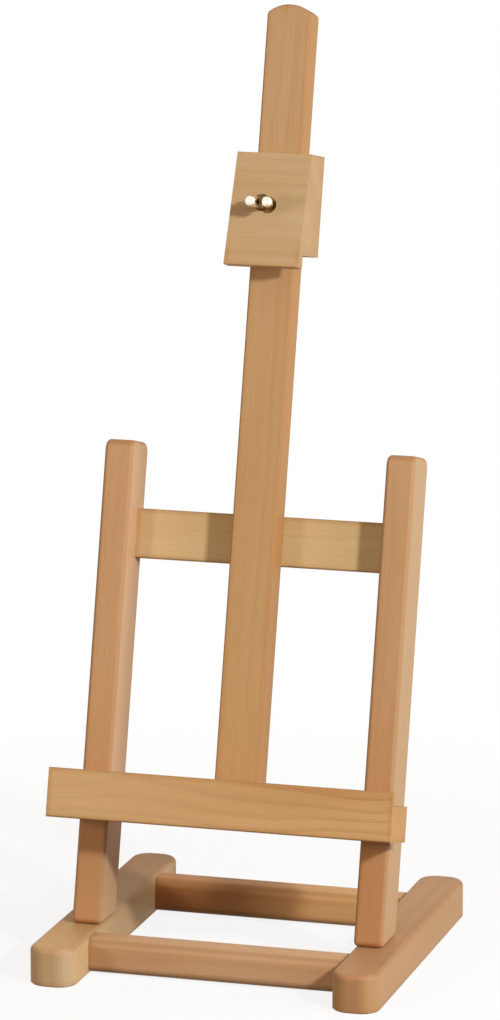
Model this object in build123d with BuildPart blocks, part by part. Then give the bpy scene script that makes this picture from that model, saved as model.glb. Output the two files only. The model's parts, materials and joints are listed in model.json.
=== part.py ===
from build123d import *
import os
from math import cos, radians, sin, tan

# A table-top easel in millimetres: +Z up, its front towards -Y
# The origin is on the floor under the middle of the base

# Base: two feet that run from front to back, tied by two stretchers
foot_length = 250.0
foot_width = 32.6
foot_height = 26.0
foot_end_radius = 13.0
foot_edge_radius = 3.5
foot_base_chamfer = 0.8
post_gap = 177.8
stretcher_depth = 22.0
stretcher_height = 24.0
stretcher_lift = 0.8
stretcher_edge_radius = 6.0
front_stretcher_setback = 36.0
rear_stretcher_setback = 40.0

# Leaning frame: heights are measured along the posts from the top of the feet
lean_angle = 14.3
post_setback = 62.3
post_width = 20.6
post_depth = 36.0
post_length = 332.0
post_top_radius = 7.0
post_edge_radius = 3.0
post_toe_radius = 3.8
post_heel_radius = 7.0
rail_bottom = 252.3
rail_height = 34.0
rail_thickness = 13.0
rail_edge_radius = 1.5
mast_length = 558.6
mast_width = 31.0
mast_thickness = 21.0
mast_end_inset = 2.0
mast_arch_rise = 6.0
mast_corner_radius = 3.0
mast_edge_radius = 1.5

# Canvas ledge: a bar across the front with a lip along its front edge
ledge_bottom = 73.0
ledge_length = 240.0
ledge_height = 33.5
ledge_depth = 41.0
ledge_lip_height = 9.5
ledge_lip_thickness = 6.0
ledge_edge_radius = 1.5

# Top holder: a wedge round the mast, with a lip below it for the canvas's top edge
holder_bottom = 461.7
holder_height = 68.9
holder_width = 52.0
holder_top_reach = 12.5
holder_lip_reach = 28.5
holder_lip_drop = 9.5
holder_back_climb = 2.0
holder_notch_depth = 17.0
holder_edge_radius = 1.2
holder_clearance = 0.4
back_plate_screw_edge = 3.4
back_plate_inset = 2.0
back_plate_thickness = 5.0
back_plate_edge_radius = 1.0

# Clamp: a wing screw in a threaded insert, with a pad that bears on the mast
clamp_rise = 32.8
stud_radius = 3.0
stud_clearance = 0.05
stud_hole_clearance = 0.4
insert_wall = 2.0
insert_flange_radius = 5.8
insert_flange_thickness = 1.2
insert_recess = 0.3
insert_shoulder = 1.5
pad_radius = 5.0
pad_thickness = 2.5
pad_gap = 0.3
pad_travel = 3.0
pad_side_clearance = 0.5
swivel_radius = 2.0
swivel_depth = 1.5
swivel_end_gap = 0.1
boss_standoff = 13.0
boss_radius = 6.0
boss_tip_radius = 3.8
boss_height = 5.2
boss_edge_radius = 1.0
wing_root_radius = 3.0
wing_root_out = 3.4
wing_root_up = 4.4
wing_tip_radius = 3.8
wing_tip_out = 5.7
wing_tip_up = 8.6
wing_thickness = 7.4
wing_edge_radius = 2.6

# Dowels and wood screws
dowel_radius = 3.0
dowel_length = 28.0
dowel_chamfer = 0.6
dowel_end_gap = 0.5
stretcher_dowel_pitch = 10.0
rail_dowel_pitch = 16.0
fastener_clearance = 0.1
screw_head_recess = 1.0
screw_head_ratio = 1.95
screw_head_angle = 90.0
screw_tip_ratio = 2.0
recess_width_ratio = 0.35
recess_span_ratio = 2.0
recess_depth_ratio = 0.5
post_screw_radius = 2.25
post_screw_bite = 28.0
post_screw_pitch = 15.0
post_screw_middle = 21.0
ledge_screw_radius = 2.0
ledge_screw_bite = 24.0
ledge_screw_pitch = 10.0
rail_screw_radius = 1.75
rail_screw_bite = 14.0
rail_screw_pitch = 16.0
holder_screw_radius = 1.4
holder_screw_bite = 13.0
holder_screw_pitch = 44.0

# The leaning frame's directions, and its planes through the posts' front faces at the top of the feet
lean_up = Vector(0, sin(radians(lean_angle)), cos(radians(lean_angle)))
lean_back = Vector(0, cos(radians(lean_angle)), -sin(radians(lean_angle)))
frame_origin = Vector(0, post_setback - foot_length / 2, foot_height)
lean_plane = Plane(origin=frame_origin, x_dir=(1, 0, 0), z_dir=lean_up)
side_plane = Plane(origin=frame_origin, x_dir=lean_back, z_dir=(1, 0, 0))
front_plane = Plane(origin=frame_origin, x_dir=(1, 0, 0), z_dir=-lean_back)
front_to_back = Axis((0, 0, 0), lean_back)

# Places that several pieces share
sides = (-1, 1)
pair = (-0.5, 0.5)
stretcher_middle_z = stretcher_lift + stretcher_height / 2
front_stretcher_y = front_stretcher_setback + stretcher_depth / 2 - foot_length / 2
rear_stretcher_y = foot_length / 2 - rear_stretcher_setback - stretcher_depth / 2
rail_middle = rail_bottom + rail_height / 2
rail_depth = mast_thickness + rail_thickness / 2
rail_back = mast_thickness + rail_thickness
ledge_top = ledge_bottom + ledge_height
shelf_top = ledge_top - ledge_lip_height
shelf_middle = (ledge_bottom + shelf_top) / 2
mast_bottom = ledge_bottom + mast_end_inset
mast_top = mast_bottom + mast_length
holder_top = holder_bottom + holder_height
holder_lip_bottom = holder_bottom - holder_lip_drop
holder_back_middle = holder_bottom + holder_height / 2 + holder_back_climb
holder_back = mast_thickness + holder_clearance
channel_width = mast_width + 2 * holder_clearance
cheek_middle = (holder_width + channel_width) / 4
clamp_height = holder_bottom + clamp_rise


def leaning_place(across, depth, height):
    # A spot in the leaning frame, turned with it
    return lean_plane.location * Location((across, depth, height))


def rear_place(across, depth, height):
    # A spot on a back face of the leaning frame, facing backwards
    spot = lean_plane.from_local_coords(Vector(across, depth, height))
    return Plane(origin=spot, x_dir=(1, 0, 0), z_dir=lean_back).location


def holder_reach(height):
    # How far the holder's sloping front stands ahead of the mast at a height
    share = (height - holder_lip_bottom) / (holder_top - holder_lip_bottom)
    return holder_lip_reach + (holder_top_reach - holder_lip_reach) * share


# Fasteners
def stretcher_dowel_places(side, middle_y):
    face = side * post_gap / 2
    return [Location((face, middle_y, stretcher_middle_z + step * stretcher_dowel_pitch)) for step in pair]


def rail_dowel_places(side):
    face = side * post_gap / 2
    return [leaning_place(face, rail_depth, rail_middle + step * rail_dowel_pitch) for step in pair]


def post_screw_places(side):
    across = side * (post_gap + post_width) / 2
    rows = [frame_origin.Y + post_screw_middle + step * post_screw_pitch for step in pair]
    return [Plane(origin=(across, row, screw_head_recess), z_dir=(0, 0, -1)).location for row in rows]


def ledge_screw_places(across, depth):
    head = depth - screw_head_recess
    return [rear_place(across, head, shelf_middle + step * ledge_screw_pitch) for step in pair]


def rail_screw_places():
    head = rail_back - screw_head_recess
    return [rear_place(0, head, rail_middle + step * rail_screw_pitch) for step in pair]


def holder_screw_places():
    head = holder_back + back_plate_thickness - screw_head_recess
    rows = [holder_back_middle + step * holder_screw_pitch for step in pair]
    return [rear_place(side * cheek_middle, head, row) for side in sides for row in rows]


def dowel_group(places):
    with BuildPart() as group:
        with Locations(*places):
            Cylinder(dowel_radius, dowel_length, rotation=(0, 90, 0))
        chamfer(group.edges().filter_by(GeomType.CIRCLE), dowel_chamfer)
    return group


def cut_dowel_holes(places):
    with Locations(*places):
        Cylinder(
            dowel_radius + fastener_clearance,
            dowel_length + 2 * dowel_end_gap,
            rotation=(0, 90, 0),
            mode=Mode.SUBTRACT,
        )


def screw_group(places, radius, length):
    head_radius = radius * screw_head_ratio
    head_depth = (head_radius - radius) / tan(radians(screw_head_angle / 2))
    shank_end = length - radius * screw_tip_ratio
    recess_width = radius * recess_width_ratio
    recess_span = radius * recess_span_ratio
    recess_depth = radius * recess_depth_ratio
    with BuildPart() as screw:
        with BuildSketch(Plane.XZ):
            with BuildLine():
                Polyline(
                    (0, 0),
                    (head_radius, 0),
                    (radius, -head_depth),
                    (radius, -shank_end),
                    (0, -length),
                    close=True,
                )
            make_face()
        revolve(axis=Axis.Z)
        with BuildSketch(Plane.XY):
            Rectangle(recess_span, recess_width)
            Rectangle(recess_width, recess_span)
        extrude(amount=-recess_depth, mode=Mode.SUBTRACT)
    with BuildPart() as group:
        with Locations(*places):
            add(screw.part)
    return group


def cut_screw_holes(places, radius, length):
    with Locations(*places):
        CounterSinkHole(
            radius + fastener_clearance,
            radius * screw_head_ratio + fastener_clearance,
            depth=length + fastener_clearance,
            counter_sink_angle=screw_head_angle,
        )


post_screw_length = foot_height - screw_head_recess + post_screw_bite
ledge_screw_length = post_depth - screw_head_recess + ledge_screw_bite
mast_screw_length = mast_thickness - screw_head_recess + ledge_screw_bite
rail_screw_length = rail_thickness - screw_head_recess + rail_screw_bite
holder_screw_length = back_plate_thickness - screw_head_recess + holder_screw_bite


os.makedirs("parts", exist_ok=True)


def finish(piece, name):
    piece.part.label = name
    export_step(piece.part, f"parts/{name}.step")


# Feet: runners with rounded ends
def make_foot(side):
    with BuildPart() as foot:
        with BuildSketch():
            with Locations((side * (post_gap + foot_width) / 2, 0)):
                RectangleRounded(foot_width, foot_length, foot_end_radius)
        extrude(amount=foot_height)
        fillet(foot.faces().sort_by(Axis.Z)[-1].edges(), foot_edge_radius)
        chamfer(foot.faces().sort_by(Axis.Z)[0].edges(), foot_base_chamfer)
        cut_dowel_holes(stretcher_dowel_places(side, front_stretcher_y))
        cut_dowel_holes(stretcher_dowel_places(side, rear_stretcher_y))
        cut_screw_holes(post_screw_places(side), post_screw_radius, post_screw_length)
    return foot


# Stretchers: round-edged bars between the feet, just clear of the floor
def make_stretcher(middle_y):
    with BuildPart() as stretcher:
        with BuildSketch(Plane.YZ):
            with Locations((middle_y, stretcher_middle_z)):
                RectangleRounded(stretcher_depth, stretcher_height, stretcher_edge_radius)
        extrude(amount=post_gap / 2, both=True)
        for side in sides:
            cut_dowel_holes(stretcher_dowel_places(side, middle_y))
    return stretcher


# Posts: leaning uprights, cut level where they stand on the feet
def make_post(side):
    across = side * (post_gap + post_width) / 2
    with BuildPart() as post:
        with BuildSketch(side_plane.offset(across)) as profile:
            with BuildLine():
                heel_rise = post_depth * tan(radians(lean_angle))
                Polyline(
                    (0, 0),
                    (post_depth, heel_rise),
                    (post_depth, post_length),
                    (0, post_length),
                    close=True,
                )
            make_face()
            fillet(profile.vertices().group_by(Axis.Y)[-1], post_top_radius)
            fillet(profile.vertices().sort_by(Axis.Y)[0], post_toe_radius)
            fillet(profile.vertices().group_by(Axis.X)[-1].sort_by(Axis.Y)[0], post_heel_radius)
        extrude(amount=post_width / 2, both=True)
        fillet(post.faces().filter_by(Axis.X).edges(), post_edge_radius)
        cut_dowel_holes(rail_dowel_places(side))
        cut_screw_holes(post_screw_places(side), post_screw_radius, post_screw_length)
        cut_screw_holes(ledge_screw_places(across, post_depth), ledge_screw_radius, ledge_screw_length)
    return post


for side, hand in zip(sides, ("left", "right")):
    finish(make_foot(side), f"{hand}_foot")
    finish(make_post(side), f"{hand}_post")

for middle_y, name in ((front_stretcher_y, "front_stretcher"), (rear_stretcher_y, "rear_stretcher")):
    finish(make_stretcher(middle_y), name)
    dowel_places = [place for side in sides for place in stretcher_dowel_places(side, middle_y)]
    finish(dowel_group(dowel_places), f"{name}_dowels")

# Cross rail: a thin board between the posts, behind the mast
with BuildPart() as cross_rail:
    with BuildSketch(side_plane):
        with Locations((rail_depth, rail_middle)):
            RectangleRounded(rail_thickness, rail_height, rail_edge_radius)
    extrude(amount=post_gap / 2, both=True)
    for side in sides:
        cut_dowel_holes(rail_dowel_places(side))
    cut_screw_holes(rail_screw_places(), rail_screw_radius, rail_screw_length)
finish(cross_rail, "cross_rail")

# Mast: a central upright with an arched top, level with the posts' front faces
with BuildPart() as mast:
    with BuildSketch(front_plane) as mast_outline:
        with BuildLine():
            shoulder = mast_top - mast_arch_rise
            Polyline(
                (-mast_width / 2, shoulder),
                (-mast_width / 2, mast_bottom),
                (mast_width / 2, mast_bottom),
                (mast_width / 2, shoulder),
            )
            ThreePointArc((mast_width / 2, shoulder), (0, mast_top), (-mast_width / 2, shoulder))
        make_face()
        fillet(mast_outline.vertices(), mast_corner_radius)
    extrude(amount=-mast_thickness)
    fillet(mast.faces().filter_by(front_to_back).edges(), mast_edge_radius)
    cut_screw_holes(ledge_screw_places(0, mast_thickness), ledge_screw_radius, mast_screw_length)
    cut_screw_holes(rail_screw_places(), rail_screw_radius, rail_screw_length)
finish(mast, "mast")

# Canvas ledge: the shelf lies behind the lip and meets the posts and the mast
with BuildPart() as canvas_ledge:
    with BuildSketch(side_plane) as ledge_profile:
        with BuildLine():
            lip_back = ledge_lip_thickness - ledge_depth
            Polyline(
                (0, ledge_bottom),
                (0, shelf_top),
                (lip_back, shelf_top),
                (lip_back, ledge_top),
                (-ledge_depth, ledge_top),
                (-ledge_depth, ledge_bottom),
                close=True,
            )
        make_face()
        fillet(ledge_profile.vertices().group_by(Axis.X)[0], ledge_edge_radius)
    extrude(amount=ledge_length / 2, both=True)
    for side in sides:
        across = side * (post_gap + post_width) / 2
        cut_screw_holes(ledge_screw_places(across, post_depth), ledge_screw_radius, ledge_screw_length)
    cut_screw_holes(ledge_screw_places(0, mast_thickness), ledge_screw_radius, mast_screw_length)
finish(canvas_ledge, "canvas_ledge")

finish(dowel_group([place for side in sides for place in rail_dowel_places(side)]), "rail_dowels")
finish(
    screw_group(
        [place for side in sides for place in post_screw_places(side)],
        post_screw_radius,
        post_screw_length,
    ),
    "post_screws",
)
finish(
    screw_group(
        [
            place
            for side in sides
            for place in ledge_screw_places(side * (post_gap + post_width) / 2, post_depth)
        ],
        ledge_screw_radius,
        ledge_screw_length,
    ),
    "ledge_screws",
)
finish(
    screw_group(ledge_screw_places(0, mast_thickness), ledge_screw_radius, mast_screw_length),
    "mast_ledge_screws",
)
finish(screw_group(rail_screw_places(), rail_screw_radius, rail_screw_length), "mast_rail_screws")

# Clamp places: distances ahead of the mast's front face, along the screw's axis
clamp_plane = Plane(
    origin=lean_plane.from_local_coords(Vector(0, 0, clamp_height)),
    x_dir=(1, 0, 0),
    z_dir=-lean_back,
)
wing_plane = Plane(origin=clamp_plane.origin, x_dir=(1, 0, 0), z_dir=-lean_up)
insert_radius = stud_radius + stud_clearance + insert_wall
pad_front = pad_gap + pad_thickness
pad_recess_end = pad_front + pad_travel + pad_gap
insert_start = pad_recess_end + insert_shoulder
insert_end = holder_reach(clamp_height + insert_flange_radius) - insert_recess
flange_start = insert_end - insert_flange_thickness
boss_start = holder_reach(clamp_height - boss_radius) + boss_standoff

# Holder block: a wedge with a channel for the mast and a notch behind its lip
with BuildPart() as holder_block:
    with BuildSketch(side_plane):
        with BuildLine():
            Polyline(
                (-holder_lip_reach, holder_lip_bottom),
                (-holder_top_reach, holder_top),
                (holder_back, holder_top + holder_back_climb),
                (holder_back, holder_bottom + holder_back_climb),
                (-holder_notch_depth, holder_bottom),
                (-holder_notch_depth, holder_lip_bottom),
                close=True,
            )
        make_face()
    extrude(amount=holder_width / 2, both=True)
    fillet(holder_block.faces().sort_by(front_to_back)[0].edges(), holder_edge_radius)
    with Locations(leaning_place(0, -holder_clearance, holder_back_middle)):
        Box(
            channel_width,
            holder_back + holder_clearance,
            holder_height + 2 * holder_back_climb,
            align=(Align.CENTER, Align.MIN, Align.CENTER),
            mode=Mode.SUBTRACT,
        )
    with BuildSketch(clamp_plane):
        Circle(pad_radius + pad_side_clearance)
    extrude(amount=pad_recess_end, mode=Mode.SUBTRACT)
    with BuildSketch(clamp_plane):
        Circle(stud_radius + stud_hole_clearance)
    extrude(amount=insert_start, mode=Mode.SUBTRACT)
    with BuildSketch(clamp_plane.offset(insert_start)):
        Circle(insert_radius)
    extrude(amount=flange_start - insert_start, mode=Mode.SUBTRACT)
    with BuildSketch(clamp_plane.offset(flange_start)):
        Circle(insert_flange_radius)
    extrude(amount=holder_lip_reach, mode=Mode.SUBTRACT)
    cut_screw_holes(holder_screw_places(), holder_screw_radius, holder_screw_length)
finish(holder_block, "holder_block")

# Back plate: closes the channel behind the mast
with BuildPart() as holder_back_plate:
    with Locations(leaning_place(0, holder_back, holder_back_middle)):
        Box(
            2 * (cheek_middle + back_plate_screw_edge),
            back_plate_thickness,
            holder_height - 2 * back_plate_inset,
            align=(Align.CENTER, Align.MIN, Align.CENTER),
        )
    fillet(holder_back_plate.faces().sort_by(front_to_back)[-1].edges(), back_plate_edge_radius)
    cut_screw_holes(holder_screw_places(), holder_screw_radius, holder_screw_length)
finish(holder_back_plate, "holder_back_plate")
finish(screw_group(holder_screw_places(), holder_screw_radius, holder_screw_length), "holder_screws")

# Threaded insert: a flanged sleeve sunk in the holder's front
with BuildPart() as threaded_insert:
    with BuildSketch(clamp_plane.offset(insert_start)):
        Circle(insert_radius)
    extrude(amount=flange_start - insert_start)
    with BuildSketch(clamp_plane.offset(flange_start)):
        Circle(insert_flange_radius)
    extrude(amount=insert_flange_thickness)
    with BuildSketch(clamp_plane.offset(insert_start)):
        Circle(stud_radius + stud_clearance)
    extrude(amount=insert_end - insert_start, mode=Mode.SUBTRACT)
finish(threaded_insert, "threaded_insert")

# Pressure pad: a disc that swivels on the screw's tip
with BuildPart() as pressure_pad:
    with BuildSketch(clamp_plane.offset(pad_gap)):
        Circle(pad_radius)
    extrude(amount=pad_thickness)
    with BuildSketch(clamp_plane.offset(pad_front)):
        Circle(swivel_radius + stud_clearance)
    extrude(amount=-swivel_depth, mode=Mode.SUBTRACT)
finish(pressure_pad, "pressure_pad")

# Wing screw: a stud with a round boss and two wings
with BuildPart() as wings:
    for side in sides:
        with BuildSketch(wing_plane):
            with Locations((side * wing_root_out, boss_start + wing_root_up)):
                Circle(wing_root_radius)
            with Locations((side * wing_tip_out, boss_start + wing_tip_up)):
                Circle(wing_tip_radius)
            make_hull()
        extrude(amount=wing_thickness / 2, both=True)
    fillet(wings.faces().filter_by(Axis((0, 0, 0), lean_up)).edges(), wing_edge_radius)

with BuildPart() as wing_screw:
    with BuildSketch(clamp_plane.offset(boss_start)):
        Circle(boss_radius)
    with BuildSketch(clamp_plane.offset(boss_start + boss_height)):
        Circle(boss_tip_radius)
    loft()
    fillet(wing_screw.edges().filter_by(GeomType.CIRCLE), boss_edge_radius)
    add(wings.part)
    with BuildSketch(clamp_plane.offset(pad_front + swivel_end_gap)):
        Circle(stud_radius)
    extrude(amount=boss_start - pad_front - swivel_end_gap)
    with BuildSketch(clamp_plane.offset(pad_front + swivel_end_gap)):
        Circle(swivel_radius)
    extrude(amount=-swivel_depth)
finish(wing_screw, "wing_screw")
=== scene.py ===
import json
import math

import bpy
from mathutils import Euler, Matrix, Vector


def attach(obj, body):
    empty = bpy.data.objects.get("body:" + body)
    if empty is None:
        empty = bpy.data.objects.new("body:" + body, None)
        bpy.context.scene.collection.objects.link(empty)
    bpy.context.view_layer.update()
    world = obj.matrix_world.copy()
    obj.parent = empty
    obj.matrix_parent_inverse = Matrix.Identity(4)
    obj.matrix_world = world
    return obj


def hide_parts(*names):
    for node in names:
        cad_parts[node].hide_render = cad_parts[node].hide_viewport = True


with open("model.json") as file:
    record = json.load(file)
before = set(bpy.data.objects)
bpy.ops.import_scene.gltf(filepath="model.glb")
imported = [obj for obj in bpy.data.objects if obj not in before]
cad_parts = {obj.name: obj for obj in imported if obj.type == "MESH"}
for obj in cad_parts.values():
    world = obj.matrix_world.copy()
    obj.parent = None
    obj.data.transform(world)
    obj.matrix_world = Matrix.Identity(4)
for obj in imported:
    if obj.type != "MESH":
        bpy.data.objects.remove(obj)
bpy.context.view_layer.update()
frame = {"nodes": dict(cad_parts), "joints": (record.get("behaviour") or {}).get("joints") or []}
mm = 0.001
joints = {joint["name"]: joint for joint in frame["joints"]}
leanUp = Vector(joints["holder_slide"]["axis"])
leanAngle = math.atan2(leanUp.y, leanUp.z)  # how far the mast and the posts lean back
print("frame loaded:", len(frame["nodes"]), "nodes, lean", round(math.degrees(leanAngle), 2))


# shader sums: a Wire is one socket, and arithmetic on wires adds Math nodes
class Wire:
    def __init__(self, paint, socket):
        self.paint = paint
        self.socket = socket

    def __add__(self, other):
        return self.paint.sum("ADD", self, other)

    def __radd__(self, other):
        return self.paint.sum("ADD", other, self)

    def __sub__(self, other):
        return self.paint.sum("SUBTRACT", self, other)

    def __rsub__(self, other):
        return self.paint.sum("SUBTRACT", other, self)

    def __mul__(self, other):
        return self.paint.sum("MULTIPLY", self, other)

    def __rmul__(self, other):
        return self.paint.sum("MULTIPLY", other, self)

    def __truediv__(self, other):
        return self.paint.sum("DIVIDE", self, other)

    def __rtruediv__(self, other):
        return self.paint.sum("DIVIDE", other, self)

    def __pow__(self, other):
        return self.paint.sum("POWER", self, other)

    def __rpow__(self, other):
        return self.paint.sum("POWER", other, self)

    def __abs__(self):
        return self.paint.sum("ABSOLUTE", self)


class Paint:
    def __init__(self, tree):
        self.tree = tree

    # settings come first, because some of them change which sockets a node has
    def node(self, kind, settings=None, inputs=None, output=0):
        made = self.tree.nodes.new(kind)
        for name, value in (settings or {}).items():
            setattr(made, name, value)
        for key, value in (inputs or {}).items():
            self.feed(made.inputs[key], value)
        return Wire(self, made.outputs[output])

    def feed(self, socket, value):
        if isinstance(value, Wire):
            self.tree.links.new(value.socket, socket)
        else:
            socket.default_value = value

    def sum(self, operation, *values):
        return self.node("ShaderNodeMath", {"operation": operation}, dict(enumerate(values)))

    def step(self, value, low, high):
        edges = {0: value, 1: low, 2: high}
        return self.node("ShaderNodeMapRange", {"interpolation_type": "SMOOTHSTEP"}, edges)

    def blend(self, share, first, second):
        return self.node("ShaderNodeMix", {"data_type": "RGBA"}, {0: share, 6: first, 7: second}, 2)

    def vectors(self, operation, first, second):
        return self.node("ShaderNodeVectorMath", {"operation": operation}, {0: first, 1: second})

    def noise(self, place, scale, detail, roughness=0.5):
        stretched = self.vectors("MULTIPLY", place, scale)
        inputs = {"Vector": stretched, "Scale": 1.0, "Detail": detail, "Roughness": roughness}
        return self.node("ShaderNodeTexNoise", None, inputs)

    def split(self, vector):
        parts = self.node("ShaderNodeSeparateXYZ", None, {0: vector}).socket.node.outputs
        return [Wire(self, part) for part in parts]

    def bump(self, height, relief):
        inputs = {"Strength": relief["strength"], "Distance": relief["depth"], "Height": height}
        return self.node("ShaderNodeBump", None, inputs)


def colour(red, green, blue):
    # screen values 0 to 255 as the light values that a shader takes
    values = [part / 255 for part in (red, green, blue)]
    return [v / 12.92 if v < 0.04045 else ((v + 0.055) / 1.055) ** 2.4 for v in values] + [1.0]


def newPaint(name):
    material = bpy.data.materials.new(name)
    material.use_nodes = True
    paint = Paint(material.node_tree)
    paint.material = material
    paint.shader = material.node_tree.nodes["Principled BSDF"]
    return paint


def dress(piece, paint, surface):
    for name, value in surface.items():
        paint.feed(paint.shader.inputs[name], value)
    piece.data.materials.clear()
    piece.data.materials.append(paint.material)


# beech: the grain runs along local z, in millimetres from the middle of the piece
grainTurns = {
    "up the lean": (leanAngle, 0, 0),
    "across the lean": (leanAngle, -math.pi / 2, 0),
    "across the base": (0, -math.pi / 2, 0),
    "front to back": (math.pi / 2, 0, 0),
}
beechNoise = {  # waves per millimetre across, through and along the grain, detail, roughness
    "drift": ((0.016, 0.016, 0.0075), 1.0),
    "wander": ((0.12, 0.12, 0.011), 2.0),
    "streak": ((0.55, 0.55, 0.006), 4.0, 0.55),
    "fibre": ((4.5, 4.5, 0.07), 3.0, 0.6),
    "dashes": ((1.7, 1.7, 0.22), 1.0),
    "patch": ((0.03, 0.03, 0.006), 2.0),
}
beechRange = {  # where each mask begins and where it is full
    "latewood": (0.42, 0.93),
    "ringEnd": (0.93, 1.0),
    "streak": (0.45, 0.72),
    "fleck": (0.66, 0.76),
    "patch": (0.3, 0.7),
    "facingEnd": (0.15, 0.65),
    "facingSide": (0.2, 0.7),
    "facingArris": (0.25, 0.65),
}
beechGrain = {
    "latewood": colour(150, 98, 56), "lineStrength": 0.26, "streakStrength": 0.1,
    "fleck": colour(139, 92, 54), "fleckStrength": 0.22,
    # edge band: gathered lacquer and painted shade over the light that the rounded edges catch
    "lacquerAndShadeEdge": colour(176, 118, 66), "edgeStrength": 0.4,
    "edgeWidth": 4.5, "edgeRagged": 2.0,  # millimetres
    # painted shade on the rounded edges between front and side, toning down the light they catch
    "arrisShade": colour(140, 112, 80), "arrisShadeStrength": 0.35,
    "ringWander": 2.4,  # millimetres
    "faintRing": 0.2,  # strength of the palest ring, beside 1 for the darkest
    "endFade": 0.75,  # how much of the ring lines is lost on end grain
    "shine": 0.15,
}
beechRough = {"plain": 0.5, "fibre": 0.12, "lines": 0.06, "end": 0.14, "edge": -0.05}
beechRelief = {
    "fibre": 0.5, "streak": 0.4, "fleck": -0.5, "lines": -0.3, "end": 0.6,
    "strength": 0.22, "depth": 0.25 * mm,
}


def mapBar(paint, piece, turn):
    # the place on the bar, which way its surface faces, and half the bar's size
    spin = Euler(turn).to_matrix()
    corners = [spin @ vertex.co / mm for vertex in piece.data.vertices]
    low = Vector([min(corner[axis] for corner in corners) for axis in range(3)])
    high = Vector([max(corner[axis] for corner in corners) for axis in range(3)])
    mapping = {"Location": -(low + high) / 2, "Rotation": turn, "Scale": [1 / mm] * 3}
    spot = paint.node("ShaderNodeTexCoord", None, None, "Object")
    place = paint.node("ShaderNodeMapping", None, {"Vector": spot, **mapping})
    normal = paint.node("ShaderNodeTexCoord", None, None, "Normal")
    turned = {"Vector": normal, "Rotation": turn}
    facing = paint.node("ShaderNodeMapping", {"vector_type": "NORMAL"}, turned)
    return place, [abs(part) for part in paint.split(facing)], (high - low) / 2


def growthRings(paint, wood, u, v, drift, wander):
    # dark lines about a pith outside the bar, wavy along the grain
    du = u - wood["pith"][0]
    dv = v - wood["pith"][1]
    radius = (du * du + dv * dv) ** 0.5 + (drift - 0.5) * wood["wave"]
    radius = radius + (wander - 0.5) * beechGrain["ringWander"]
    ring = radius / wood["ringPitch"]
    number = paint.sum("FLOOR", ring)
    phase = ring - number
    inputs = {"W": number + wood["seed"]}
    dark = paint.node("ShaderNodeTexWhiteNoise", {"noise_dimensions": "1D"}, inputs)
    late = paint.step(phase, *beechRange["latewood"])
    late = late * (1 - paint.step(phase, *beechRange["ringEnd"]))
    faint = beechGrain["faintRing"]
    return late * (faint + (1 - faint) * dark * dark)


def edgeBand(paint, place, half, wander):
    # a band along the edges of the bar, where lacquer gathers and where painted shade tones down
    # the light that the rounded edges catch
    gaps = [size - abs(part) for size, part in zip(half, paint.split(place))]
    pairs = [(gaps[0], gaps[1]), (gaps[0], gaps[2]), (gaps[1], gaps[2])]
    nearest = [paint.sum("MAXIMUM", *pair) for pair in pairs]
    nearest = paint.sum("MINIMUM", paint.sum("MINIMUM", nearest[0], nearest[1]), nearest[2])
    ragged = nearest + (wander - 0.5) * beechGrain["edgeRagged"]
    return 1 - paint.step(ragged, 0.0, beechGrain["edgeWidth"])


def dressBeech(node, wood):
    paint = newPaint(node + "_beech")
    piece = frame["nodes"][node]
    place, facing, half = mapBar(paint, piece, grainTurns[wood["grain"]])
    u, v, along = paint.split(place)
    shifted = paint.vectors("ADD", place, [wood["seed"] * share for share in (1, 2, 3)])
    noises = {name: paint.noise(shifted, *look) for name, look in beechNoise.items()}
    fibre, streak, wander = noises["fibre"], noises["streak"], noises["wander"]

    end = paint.step(facing[2], *beechRange["facingEnd"])
    # painted light and shade on the side faces
    side = paint.step(facing[0], *beechRange["facingSide"])
    # painted shade where the surface turns between front and side
    arrisShade = paint.step(paint.sum("MINIMUM", facing[0], facing[1]), *beechRange["facingArris"])
    lines = growthRings(paint, wood, u, v, noises["drift"], wander)
    lines = lines * (1 - beechGrain["endFade"] * end)
    edge = edgeBand(paint, place, half, wander)
    fleck = paint.step(noises["dashes"], *beechRange["fleck"])
    streaks = paint.step(streak, *beechRange["streak"])
    # painted light and shade along the piece, full at its lower, left or front end
    lengthLightMask = paint.step(along, half[2], -half[2])

    layers = [
        (streaks * beechGrain["streakStrength"], beechGrain["latewood"]),
        (lines * beechGrain["lineStrength"] * wood["figure"], beechGrain["latewood"]),
        (fleck * beechGrain["fleckStrength"] * fibre, beechGrain["fleck"]),
        # painted light and shade along the piece
        (lengthLightMask * wood["lengthLightShare"], wood["lengthLight"]),
        # painted light and shade on the side faces
        (side * wood["sideLightShare"], wood["side"]),
        (end * wood["endShare"], wood["end"]),
        # gathered lacquer and painted shade along the edges
        (edge * beechGrain["edgeStrength"], beechGrain["lacquerAndShadeEdge"]),
        (arrisShade * beechGrain["arrisShadeStrength"], beechGrain["arrisShade"]),
    ]
    patch = paint.step(noises["patch"], *beechRange["patch"])
    base = paint.blend(patch, wood["pale"], wood["warm"])
    for share, tone in layers:
        base = paint.blend(share, base, tone)

    rough = beechRough["plain"] + (fibre - 0.5) * beechRough["fibre"]
    rough = rough + lines * beechRough["lines"] + end * beechRough["end"]
    rough = rough + edge * beechRough["edge"]
    height = fibre * beechRelief["fibre"] + streak * beechRelief["streak"]
    height = height + fleck * beechRelief["fleck"] + lines * beechRelief["lines"]
    height = height + end * fibre * beechRelief["end"]
    dress(piece, paint, {
        "Base Color": base, "Roughness": rough, "Normal": paint.bump(height, beechRelief),
        "Specular IOR Level": beechGrain["shine"],
    })
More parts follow.
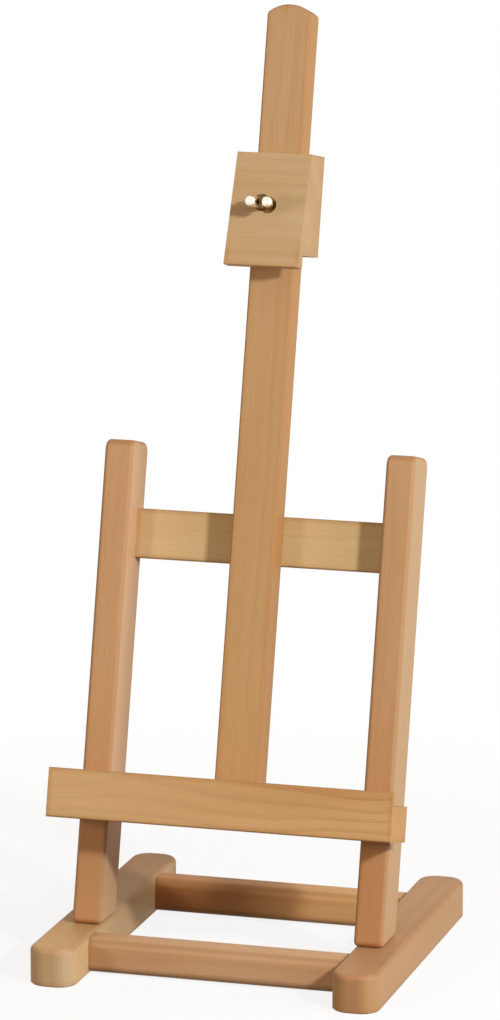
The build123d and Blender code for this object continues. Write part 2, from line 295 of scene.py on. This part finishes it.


# pith: where the rings' centre lies, in millimetres from the bar's middle
# the tone towards the lower, left or front end: painted light and shade along the piece
# side: painted light and shade on the left and right of uprights and feet, the top and bottom of
# cross bars
mastWood = {
    "grain": "up the lean", "pith": (70, 62), "ringPitch": 7.0, "wave": 9.0,
    "figure": 0.6, "seed": 3.1,
    "pale": colour(190, 154, 112), "warm": colour(185, 146, 103),
    "lengthLight": colour(194, 150, 95), "lengthLightShare": 0.6,
    "side": colour(177, 130, 78), "sideLightShare": 0.85,
    "end": colour(158, 108, 66), "endShare": 0.4,
}
leftPostWood = {
    "grain": "up the lean", "pith": (-60, 45), "ringPitch": 6.0, "wave": 8.0,
    "figure": 0.6, "seed": 11.7,
    "pale": colour(203, 161, 118), "warm": colour(195, 149, 106),
    "lengthLight": colour(187, 136, 89), "lengthLightShare": 0.75,
    "side": colour(204, 166, 129), "sideLightShare": 0.8,
    "end": colour(158, 108, 66), "endShare": 0.4,
}
rightPostWood = {
    "grain": "up the lean", "pith": (55, 50), "ringPitch": 6.0, "wave": 8.0,
    "figure": 0.6, "seed": 13.3,
    "pale": colour(192, 153, 113), "warm": colour(184, 142, 101),
    "lengthLight": colour(178, 125, 77), "lengthLightShare": 0.75,
    "side": colour(192, 160, 122), "sideLightShare": 0.8,
    "end": colour(158, 108, 66), "endShare": 0.4,
}
railWood = {
    "grain": "across the lean", "pith": (90, 30), "ringPitch": 8.0, "wave": 7.0,
    "figure": 0.6, "seed": 23.0,
    "pale": colour(214, 187, 143), "warm": colour(206, 176, 127),
    "lengthLight": colour(218, 181, 126), "lengthLightShare": 0.4,
    "side": colour(206, 168, 118), "sideLightShare": 0.3,
    "end": colour(158, 108, 66), "endShare": 0.12,
}
ledgeWood = {
    "grain": "across the lean", "pith": (-46, 30), "ringPitch": 6.0, "wave": 18.0,
    "figure": 3.6, "seed": 36.2,
    "pale": colour(202, 160, 110), "warm": colour(192, 148, 96),
    "lengthLight": colour(213, 177, 127), "lengthLightShare": 0.6,
    "side": colour(198, 154, 104), "sideLightShare": 0.3,
    "end": colour(158, 108, 66), "endShare": 0.12,
}
holderWood = {
    "grain": "across the lean", "pith": (60, -80), "ringPitch": 8.0, "wave": 9.0,
    "figure": 0.6, "seed": 41.9,
    "pale": colour(195, 166, 126), "warm": colour(188, 155, 112),
    "lengthLight": colour(194, 157, 112), "lengthLightShare": 0.3,
    "side": colour(204, 169, 123), "sideLightShare": 0.3,
    "end": colour(158, 108, 66), "endShare": 0.12,
}
frontBarWood = {
    "grain": "across the base", "pith": (40, 60), "ringPitch": 6.0, "wave": 8.0,
    "figure": 0.7, "seed": 57.3,
    "pale": colour(209, 170, 132), "warm": colour(200, 157, 116),
    "lengthLight": colour(199, 151, 107), "lengthLightShare": 0.3,
    "side": colour(206, 168, 124), "sideLightShare": 0.4,
    "end": colour(158, 108, 66), "endShare": 0.2,
}
rearBarWood = {
    "grain": "across the base", "pith": (40, 60), "ringPitch": 6.0, "wave": 8.0,
    "figure": 0.7, "seed": 59.1,
    "pale": colour(219, 176, 124), "warm": colour(210, 163, 110),
    # painted shadow: the rear bar darkens strongly towards its left end
    "lengthLight": colour(167, 110, 62), "lengthLightShare": 0.9,
    "side": colour(206, 160, 112), "sideLightShare": 0.2,
    "end": colour(158, 108, 66), "endShare": 0.2,
}
leftFootWood = {
    "grain": "front to back", "pith": (40, 60), "ringPitch": 6.0, "wave": 8.0,
    "figure": 0.7, "seed": 67.5,
    # the dark pale and warm tones are painted shade on the back of the foot, and the lighter tone
    # towards the front lifts it there
    "pale": colour(156, 121, 80), "warm": colour(150, 110, 67),
    "lengthLight": colour(210, 170, 116), "lengthLightShare": 0.8,
    "side": colour(213, 184, 142), "sideLightShare": 0.5,
    "end": colour(197, 170, 138), "endShare": 0.6,
}
rightFootWood = {
    "grain": "front to back", "pith": (40, 60), "ringPitch": 6.0, "wave": 8.0,
    "figure": 0.7, "seed": 69.9,
    "pale": colour(184, 144, 105), "warm": colour(175, 133, 91),
    "lengthLight": colour(180, 133, 90), "lengthLightShare": 0.3,
    "side": colour(198, 158, 112), "sideLightShare": 0.4,
    "end": colour(181, 138, 98), "endShare": 0.2,
}
dowelWood = {**railWood, "figure": 0.4, "seed": 71.2}
timber = {
    "mast": mastWood,
    "left_post": leftPostWood,
    "right_post": rightPostWood,
    "cross_rail": railWood,
    "canvas_ledge": ledgeWood,
    "holder_block": holderWood,
    "holder_back_plate": {**holderWood, "seed": 47.7},
    "front_stretcher": frontBarWood,
    "rear_stretcher": rearBarWood,
    "left_foot": leftFootWood,
    "right_foot": rightFootWood,
    "front_stretcher_dowels": dowelWood,
    "rear_stretcher_dowels": dowelWood,
    "rail_dowels": dowelWood,
}
for node, wood in timber.items():
    dressBeech(node, wood)
print("beech dressed:", len(timber), "pieces")


# metals: polished brass for the clamp, its tones painted darker as shade so it shows no bright
# reflection, and zinc-plated steel for the wood screws
clampBrass = {
    "bright": colour(140, 108, 60), "dull": colour(104, 76, 40),
    "rough": 0.3, "scuff": 0.2, "turning": 0.5,
}
screwSteel = {
    "bright": colour(198, 194, 184), "dull": colour(150, 146, 134),
    "rough": 0.34, "scuff": 0.2, "turning": 0.3,
}
metalNoise = {  # waves per millimetre, detail, roughness
    "tarnish": ((0.35, 0.35, 0.35), 4.0, 0.6),
    "scratch": ((0.8, 9.0, 0.8), 3.0, 0.65),
    "pits": ((2.2, 2.2, 2.2), 2.0),
}
metalWear = {
    "tarnish": (0.35, 0.75), "pits": (0.66, 0.78),  # where each mask begins and is full
    "pitStain": 0.35, "pitRough": 0.12, "scratchRough": 0.08, "tarnishMiddle": 0.4,
}
metalRelief = {"tarnish": 0.3, "pits": -0.4, "strength": 0.12, "depth": 0.1 * mm}


def dressMetal(piece, metal, centre=(0, 0, 0), paintedLightMask=None):
    # local -y runs forward from the centre, and z up the lean, in millimetres
    paint = newPaint(piece.name + "_metal")
    turn = Euler((leanAngle, 0, 0))
    origin = turn.to_matrix() @ Vector(centre)
    mapping = {"Location": -origin / mm, "Rotation": turn, "Scale": [1 / mm] * 3}
    spot = paint.node("ShaderNodeTexCoord", None, None, "Object")
    place = paint.node("ShaderNodeMapping", None, {"Vector": spot, **mapping})
    noises = {name: paint.noise(place, *look) for name, look in metalNoise.items()}
    tarnish, scratch = noises["tarnish"], noises["scratch"]
    pits = paint.step(noises["pits"], *metalWear["pits"])

    stain = paint.step(tarnish, *metalWear["tarnish"])
    base = paint.blend(stain, metal["bright"], metal["dull"])
    base = paint.blend(pits * metalWear["pitStain"], base, metal["dull"])
    # where a mask is given: painted highlight where it is 1 and painted shade where it is 0
    if paintedLightMask:
        base = paint.blend(paintedLightMask(paint, place), metal["paintedShade"], base)
    rough = metal["rough"] + (tarnish - metalWear["tarnishMiddle"]) * metal["scuff"]
    rough = rough + pits * metalWear["pitRough"] + (scratch - 0.5) * metalWear["scratchRough"]
    height = scratch * metal["turning"] + tarnish * metalRelief["tarnish"]
    height = height + pits * metalRelief["pits"]
    dress(piece, paint, {
        "Base Color": base, "Metallic": 1.0, "Roughness": rough,
        "Normal": paint.bump(height, metalRelief),
    })


woodScrews = (
    "post_screws", "ledge_screws", "mast_ledge_screws", "mast_rail_screws", "holder_screws",
)
for node in woodScrews:
    dressMetal(frame["nodes"][node], screwSteel)
for node in ("threaded_insert", "pressure_pad"):
    dressMetal(frame["nodes"][node], clampBrass)
print("fixings dressed")


# modelling helpers: lengths in millimetres until a piece is put in its place
mergeGap = 0.001


def startEditing():
    bpy.ops.object.mode_set(mode="EDIT")
    bpy.ops.mesh.select_all(action="SELECT")


def closeMesh():
    bpy.ops.mesh.select_all(action="SELECT")
    bpy.ops.mesh.remove_doubles(threshold=mergeGap)
    bpy.ops.mesh.normals_make_consistent(inside=False)
    bpy.ops.object.mode_set(mode="OBJECT")


def drawProfile(points):
    # a chain of edges in the xz plane, drawn point by point
    bpy.ops.object.select_all(action="DESELECT")
    bpy.ops.mesh.primitive_plane_add(size=1.0)
    startEditing()
    bpy.ops.mesh.merge(type="CENTER")
    bpy.ops.transform.translate(value=(points[0][0], 0, points[0][1]))
    for start, end in zip(points, points[1:]):
        step = (end[0] - start[0], 0, end[1] - start[1])
        bpy.ops.mesh.extrude_region_move(TRANSFORM_OT_translate={"value": step})


def turnProfile(points, steps):
    drawProfile(points)
    bpy.ops.mesh.select_all(action="SELECT")
    bpy.ops.mesh.spin(steps=steps, angle=math.tau, center=(0, 0, 0), axis=(0, 0, 1))
    closeMesh()
    return bpy.context.object


def applyModifier(piece, kind, settings):
    modifier = piece.modifiers.new(kind.lower(), kind)
    for name, value in settings.items():
        setattr(modifier, name, value)
    bpy.ops.object.modifier_apply(modifier=modifier.name)


def joinPieces(pieces):
    bpy.ops.object.select_all(action="DESELECT")
    for piece in pieces:
        piece.select_set(True)
    bpy.context.view_layer.objects.active = pieces[0]
    bpy.ops.object.join()
    return bpy.context.object


# wing screw: a cast head on a threaded stud, along local z from the mast's front face
wingBrass = {
    # near-white tones: a painted highlight that makes the wings read as white glints
    "bright": colour(255, 252, 240), "dull": colour(240, 226, 190),
    "paintedShade": colour(116, 86, 48),  # painted shade on the boss and stud, between and below the wings
    "rough": 0.12, "scuff": 0.1, "turning": 0.0,
}
wingCasting = {
    "bossHeight": 5.2,
    "boss": ((4.6, 0.0), (5.5, 0.4), (5.9, 1.2), (5.7, 2.0), (4.2, 4.4), (3.6, 5.0), (2.8, 5.2)),
    "bossFacets": 64,
    "wingRise": 12.4,  # from the boss's back to the wings' tops
    "wingRoot": {"out": 3.4, "up": 4.4, "radius": 2.9},
    "wingTip": {"out": 5.7, "up": 8.6, "radius": 3.8},
    "wingThickness": 7.4,
    "lobeSegments": 32,
    "lobeRings": 20,
    "grain": 0.2,
    "smoothing": {"factor": 0.5, "iterations": 3},
    "creaseAngle": 40,
    # where the wings' painted highlight begins and is full, out from the axis and up from the
    # boss's back
    "paintedLightOut": (1.0, 2.6),
    "paintedLightUp": (3.8, 5.8),
}
wingStud = {
    "root": 2.42,
    "crest": 2.98,
    "pitch": 1.0,
    "tooth": (  # level, share of the pitch
        ("root", 0.0), ("root", 0.12), ("crest", 0.44),
        ("crest", 0.56), ("root", 0.88), ("root", 1.0),
    ),
    "facets": 40,
    "spareTurns": 2,  # wound past each end, then cut off
    "start": 2.9,
    "intoBoss": 1.0,
    "pin": ((0.0, 1.4), (1.7, 1.4), (1.95, 1.65), (1.95, 3.2), (0.0, 3.2)),
    "pinFacets": 32,
}


def castWing(side, bossStart):
    lobes = []
    for spot in (wingCasting["wingRoot"], wingCasting["wingTip"]):
        bpy.ops.object.select_all(action="DESELECT")
        bpy.ops.mesh.primitive_uv_sphere_add(
            segments=wingCasting["lobeSegments"], ring_count=wingCasting["lobeRings"],
            radius=spot["radius"], location=(side * spot["out"], 0, bossStart + spot["up"]),
        )
        bpy.context.object.scale.y = wingCasting["wingThickness"] / 2 / spot["radius"]
        bpy.ops.object.transform_apply(location=True, rotation=True, scale=True)
        lobes.append(bpy.context.object)
    wing = joinPieces(lobes)
    startEditing()
    bpy.ops.mesh.convex_hull()
    closeMesh()
    return wing


def cutThread(bossStart):
    pitch = wingStud["pitch"]
    spare = wingStud["spareTurns"]
    low = wingStud["start"] - spare * pitch
    drawProfile([(wingStud[level], low + share * pitch) for level, share in wingStud["tooth"]])
    bpy.ops.object.mode_set(mode="OBJECT")
    stud = bpy.context.object
    applyModifier(stud, "SCREW", {
        "axis": "Z", "screw_offset": pitch,
        "iterations": math.ceil((bossStart - low) / pitch) + spare,
        "steps": wingStud["facets"], "render_steps": wingStud["facets"],
        "use_merge_vertices": True, "merge_threshold": mergeGap,
    })
    for height, facing in ((wingStud["start"], -1), (bossStart + wingStud["intoBoss"], 1)):
        startEditing()
        bpy.ops.mesh.bisect(
            plane_co=(0, 0, height), plane_no=(0, 0, facing), use_fill=True, clear_outer=True)
        closeMesh()
    return stud


def buildWingScrew():
    clamp = joints["wing_turn"]
    forward = Vector(clamp["axis"])
    centre = Vector(clamp["pos_m"])
    cadScrew = frame["nodes"]["wing_screw"]
    end = max((vertex.co - centre).dot(forward) for vertex in cadScrew.data.vertices) / mm
    bossStart = end - wingCasting["wingRise"]
    profile = [(0, 0), *wingCasting["boss"], (0, wingCasting["bossHeight"])]
    profile = [(radius, bossStart + up) for radius, up in profile]
    boss = turnProfile(profile, wingCasting["bossFacets"])
    head = joinPieces([boss] + [castWing(side, bossStart) for side in (-1, 1)])
    applyModifier(head, "REMESH", {"mode": "VOXEL", "voxel_size": wingCasting["grain"]})
    applyModifier(head, "SMOOTH", wingCasting["smoothing"])
    stud = cutThread(bossStart)
    pin = turnProfile(wingStud["pin"], wingStud["pinFacets"])
    screw = joinPieces([head, stud, pin])
    screw.name = "wing_screw_cast"
    screw.scale = [mm] * 3
    screw.rotation_euler = (math.pi / 2 - leanAngle, 0, 0)
    screw.location = centre
    bpy.ops.object.transform_apply(location=True, rotation=True, scale=True)
    bpy.ops.object.shade_smooth_by_angle(angle=math.radians(wingCasting["creaseAngle"]))
    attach(screw, "clamp_screw")
    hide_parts("wing_screw")
    print("wing screw:", len(screw.data.polygons), "faces, boss from", round(bossStart, 2), "mm")

    # 1 on the wings, kept near white as painted highlight, and 0 on the boss and stud, which take
    # painted shade
    def paintedWingLight(paint, place):
        across, back = paint.split(place)[:2]
        out = paint.step(abs(across), *wingCasting["paintedLightOut"])
        return out * paint.step(-1 * back - bossStart, *wingCasting["paintedLightUp"])

    dressMetal(screw, wingBrass, centre, paintedWingLight)


buildWingScrew()
print("wing screw dressed")


# floor, light and camera
plainWhite = (1, 1, 1, 1)
studio = {
    "floorSize": 12.0,
    "floorColour": colour(246, 246, 246),
    "floorGlow": 0.86,  # how much of the floor's look is plain white for the camera
    "floorForObject": colour(132, 118, 102),  # what the object's own light meets
    "whiteFrom": (0.25, 0.7),  # metres from the object over which the floor fades to white
    "skyForObject": 0.31,
    "skyTint": (1.0, 0.86, 0.72, 1),  # light that comes back off warm walls
    "aim": (0.0, 0.0, 0.28),
}
lamps = {
    "key": {
        "azimuth": 53, "elevation": 25, "distance": 2.0, "size": 0.18,
        "power": 27.6, "tint": (1, 1, 1), "glints": True,
    },
    "side": {
        "azimuth": 80, "elevation": 20, "distance": 2.4, "size": 1.2,
        "power": 23, "tint": (1, 1, 1), "glints": True,
    },
    "back": {
        "azimuth": 200, "elevation": 15, "distance": 2.4, "size": 1.2,
        "power": 14, "tint": (1, 0.93, 0.86), "glints": False,  # no glare off the feet's tops
    },
    "fill": {
        "azimuth": -35, "elevation": 12, "distance": 2.4, "size": 0.5,
        "power": 12, "tint": (1, 0.87, 0.74), "glints": True,
    },
}


def seenDirectly(paint):
    # 1 for what the camera sees, straight or by reflection, and 0 for light on the object
    paths = paint.node("ShaderNodeLightPath").socket.node.outputs
    rays = ("Is Camera Ray", "Is Glossy Ray", "Is Transmission Ray")
    seen = [Wire(paint, paths[name]) for name in rays]
    return paint.sum("MAXIMUM", paint.sum("MAXIMUM", seen[0], seen[1]), seen[2])


def buildFloor():
    bpy.ops.object.select_all(action="DESELECT")
    bpy.ops.mesh.primitive_plane_add(size=studio["floorSize"])
    floor = bpy.context.object
    floor.name = "studio_floor"
    paint = newPaint("pale_floor")
    white = paint.node("ShaderNodeEmission", None, {"Color": plainWhite, "Strength": 1.0})
    paper = paint.node("ShaderNodeBsdfDiffuse", None, {"Color": studio["floorColour"]})
    grey = paint.node("ShaderNodeBsdfDiffuse", None, {"Color": studio["floorForObject"]})
    spot = paint.node("ShaderNodeTexCoord", None, None, "Object")
    away = paint.node("ShaderNodeVectorMath", {"operation": "LENGTH"}, {0: spot}, "Value")
    far = paint.step(away, *studio["whiteFrom"])
    glow = studio["floorGlow"] + (1 - studio["floorGlow"]) * far
    shown = paint.node("ShaderNodeMixShader", None, {0: glow, 1: paper, 2: white})
    mixed = paint.node("ShaderNodeMixShader", None, {0: seenDirectly(paint), 1: grey, 2: shown})
    paint.feed(paint.tree.nodes["Material Output"].inputs["Surface"], mixed)
    floor.data.materials.append(paint.material)


def buildSky():
    world = bpy.data.worlds.new("white_studio")
    world.use_nodes = True
    bpy.context.scene.world = world
    paint = Paint(world.node_tree)
    white = paint.node("ShaderNodeBackground", None, {"Color": plainWhite, "Strength": 1.0})
    warm = {"Color": studio["skyTint"], "Strength": studio["skyForObject"]}
    soft = paint.node("ShaderNodeBackground", None, warm)
    mixed = paint.node("ShaderNodeMixShader", None, {0: seenDirectly(paint), 1: soft, 2: white})
    paint.feed(world.node_tree.nodes["World Output"].inputs["Surface"], mixed)


def around(aim, azimuth, elevation, distance):
    # a place seen from the front: azimuth to the right, elevation up
    a = math.radians(azimuth)
    e = math.radians(elevation)
    outward = Vector((math.sin(a) * math.cos(e), -math.cos(a) * math.cos(e), math.sin(e)))
    return Vector(aim) + distance * outward


def hangAt(name, data, look, aim):
    thing = bpy.data.objects.new(name, data)
    bpy.context.scene.collection.objects.link(thing)
    thing.location = around(aim, look["azimuth"], look["elevation"], look["distance"])
    thing.rotation_euler = (Vector(aim) - thing.location).to_track_quat("-Z", "Y").to_euler()
    return thing


def addLamp(name, lamp):
    data = bpy.data.lights.new(name + "_lamp", "AREA")
    data.shape = "DISK"
    data.size = lamp["size"]
    data.energy = lamp["power"]
    data.color = lamp["tint"]
    thing = hangAt(name + "_lamp", data, lamp, studio["aim"])
    thing.visible_glossy = lamp["glints"]


photoCamera = {
    "azimuth": 16.222,
    "elevation": 12.059,
    "distance": 3.5424,
    "aim": (-0.006741, 0.020, 0.303473),
    "focalPixels": 5214.6,
    "imageWidth": 500,
}


def addCamera():
    data = bpy.data.cameras.new("photo_camera")
    data.sensor_fit = "HORIZONTAL"
    data.lens = photoCamera["focalPixels"] * data.sensor_width / photoCamera["imageWidth"]
    bpy.context.scene.camera = hangAt("photo_camera", data, photoCamera, photoCamera["aim"])


buildFloor()
buildSky()
for name, lamp in lamps.items():
    addLamp(name, lamp)
addCamera()
bpy.context.scene.view_settings.view_transform = "Standard"
print("studio set:", len(lamps), "lamps")
